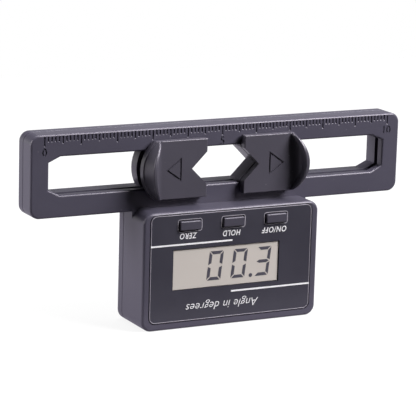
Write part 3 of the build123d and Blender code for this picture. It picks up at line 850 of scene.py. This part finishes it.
# %% [markdown]
# ## The tent round the gauge
# The background is white, yet the front faces, the thumb scoop and the slot's ends mirror something dark. So the
# world is white to the camera on all sides, but to reflections only behind and below the gauge, and it gives
# little light of its own. It fades towards the front and towards the ceiling, each by its own axis.


# %% World
unlit_share = 0.2
# Each row is an axis, how far along it the white has faded, and the share of white that stays.
fades = (((0.0, -1.0, 0.0), 0.45, 0.03), ((0.0, 0.0, 1.0), 0.29, 0.1))


def ray_kinds(tree):
    """Two masks: rays from the camera, and rays that a glossy or clear surface has sent on."""
    rays = add(tree, "ShaderNodeLightPath")
    mirrored = add(tree, "ShaderNodeMath",
                   {0: rays.outputs["Is Glossy Ray"], 1: rays.outputs["Is Transmission Ray"]}, operation="MAXIMUM")
    return rays.outputs["Is Camera Ray"], mirrored.outputs[0]


world = bpy.data.worlds.new("light_tent")
bpy.context.scene.world = world
world.use_nodes = True
tent = world.node_tree
tent.nodes.clear()
seen, mirrored = ray_kinds(tent)
direction = add(tent, "ShaderNodeTexCoord").outputs["Generated"]
whites = []
for axis, faded_at, kept in fades:
    along = add(tent, "ShaderNodeVectorMath", {0: direction, 1: axis}, operation="DOT_PRODUCT")
    fade = add(tent, "ShaderNodeMapRange", {"Value": along.outputs["Value"], "From Min": 0.0,
                                            "From Max": faded_at, "To Min": 1.0, "To Max": kept})
    whites.append(fade.outputs["Result"])
tent_light = add(tent, "ShaderNodeMath", {0: whites[0], 1: whites[1]}, operation="MULTIPLY").outputs["Value"]
unlit = add(tent, "ShaderNodeMath", {0: tent_light, 1: unlit_share}, operation="MULTIPLY")
# A Mix node takes its factor at input 0 and its two numbers at inputs 2 and 3.
shown = add(tent, "ShaderNodeMix", {0: mirrored, 2: unlit.outputs[0], 3: tent_light})
strength = add(tent, "ShaderNodeMix", {0: seen, 2: shown.outputs[0], 3: 1.0})
sky = add(tent, "ShaderNodeBackground", {"Color": linear("#ffffff"), "Strength": strength.outputs[0]})
add(tent, "ShaderNodeOutputWorld", {"Surface": sky.outputs["Background"]})
print("world:", len(tent.nodes), "nodes")

# %% [markdown]
# ## Three lamps
# A narrow strip overhead draws the bright lines along the rounded edges, a soft box at the upper right casts the
# jaws' dark shadows to the left, and a small one lights the left side.


# %% Lamps
def soft_box(name, place, aim, width, height, power):
    """A rectangular lamp that faces a point, in metres and watts."""
    data = bpy.data.lights.new(name, "AREA")
    data.shape, data.size, data.size_y, data.energy = "RECTANGLE", width, height, power
    lamp = bpy.data.objects.new(name, data)
    lamp.location = place
    lamp.rotation_mode = "QUATERNION"
    lamp.rotation_quaternion = (Vector(aim) - Vector(place)).to_track_quat("-Z", "Y")
    bpy.context.scene.collection.objects.link(lamp)


middle_of_gauge = (0.0, 0.0, 0.03)
soft_box("overhead_strip", (0.1, 0.09, 0.6), middle_of_gauge, 0.6, 0.08, 2.6)
soft_box("key_box", (0.42, -0.37, 0.52), middle_of_gauge, 0.38, 0.38, 10.9)
soft_box("left_box", (-0.55, 0.12, 0.2), middle_of_gauge, 0.2, 0.3, 2.6)
print("lamps:", len(bpy.data.lights))

# %% [markdown]
# ## The paper floor
# The floor is pale and keeps the gauge's shadow. Glossy sides mirror it a little darker, with a trace of violet.
# More than 30 mm in front of the origin it is white to the camera alone, because the glossy front faces would
# mirror a white floor there. From 30 to 20 mm it fades in.

# %% Floor
floor_front, floor_back, floor_side = -350, 380, 600
dark_until, pale_from = -30, -20
camera_glow, mirror_glow = 0.86, 0.6
floor_mesh = bmesh.new()
floor_place = Matrix.Translation((0.0, (floor_front + floor_back) / 2 * mm, 0.0))
floor_size = Matrix.Diagonal((floor_side * mm, (floor_back - floor_front) / 2 * mm, 1.0, 1.0))
bmesh.ops.create_grid(floor_mesh, x_segments=1, y_segments=1, size=1.0, matrix=floor_place @ floor_size)
floor_data = bpy.data.meshes.new("floor")
floor_mesh.to_mesh(floor_data)
floor_mesh.free()
floor = bpy.data.objects.new("floor", floor_data)
bpy.context.scene.collection.objects.link(floor)

paper, paper_tree, paper_shader, paper_place = start_material("white_paper_sweep", Roughness=0.9, IOR=1.45)
seen, mirrored = ray_kinds(paper_tree)
axes = add(paper_tree, "ShaderNodeSeparateXYZ", {"Vector": paper_place})
pale = add(paper_tree, "ShaderNodeMapRange", {"Value": axes.outputs["Y"], "From Min": dark_until * mm,
                                              "From Max": pale_from * mm}).outputs["Result"]
pale_or_seen = add(paper_tree, "ShaderNodeMath", {0: seen, 1: pale}, operation="MAXIMUM")
colour = add(paper_tree, "ShaderNodeMixRGB", {"Fac": pale_or_seen.outputs[0], "Color1": linear("#000000"),
                                              "Color2": linear("#646464")})
mirrored_part = add(paper_tree, "ShaderNodeMath", {0: mirrored, 1: pale}, operation="MULTIPLY")
to_mirrors = add(paper_tree, "ShaderNodeMath", {0: mirrored_part.outputs[0], 1: mirror_glow}, operation="MULTIPLY")
glow = add(paper_tree, "ShaderNodeMix", {0: seen, 2: to_mirrors.outputs[0], 3: camera_glow})
white = add(paper_tree, "ShaderNodeMixRGB", {"Fac": seen, "Color1": linear("#f1e9ff"),
                                             "Color2": linear("#ffffff")})
connect(paper_tree, paper_shader, {"Base Color": colour.outputs["Color"], "Emission Color": white.outputs["Color"],
                                   "Emission Strength": glow.outputs[0]})
floor_data.materials.append(paper)
bpy.context.scene.view_settings.view_transform = "Standard"
print("floor:", 2 * floor_side, "by", floor_back - floor_front, "mm")
